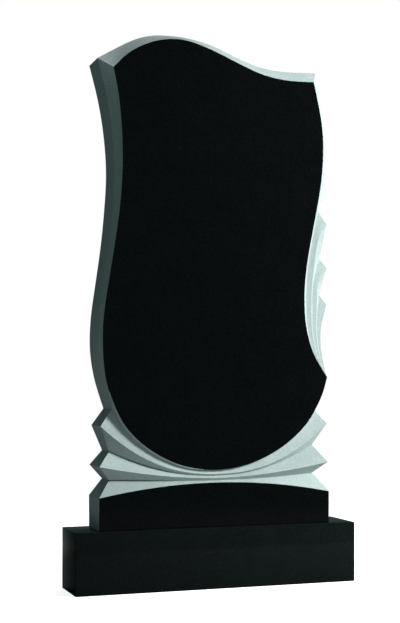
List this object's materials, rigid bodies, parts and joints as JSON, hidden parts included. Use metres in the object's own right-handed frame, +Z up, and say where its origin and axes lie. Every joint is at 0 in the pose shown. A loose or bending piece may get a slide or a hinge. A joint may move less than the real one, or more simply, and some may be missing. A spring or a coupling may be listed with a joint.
{
  "type": "headstone",
  "caption": "Upright headstone in black granite with a blank polished panel in a wavy outline, a cut bevel, fanned pleats and an arched foot, on a low rectangular base block.",
  "frame": {"origin": "middle of the base block's underside, on the ground", "axes": "+Z up, -Y is the front with the polished panel, +X to the right of someone who faces the front"},
  "size_m": [0.725, 0.14, 1.3505],
  "materials": {
    "stele_granite": "polished",
    "base_granite": "polished"
  },
  "bodies": {
    "root": {"stele": "stele_granite", "base_block": "base_granite"}
  },
  "joints": []
}
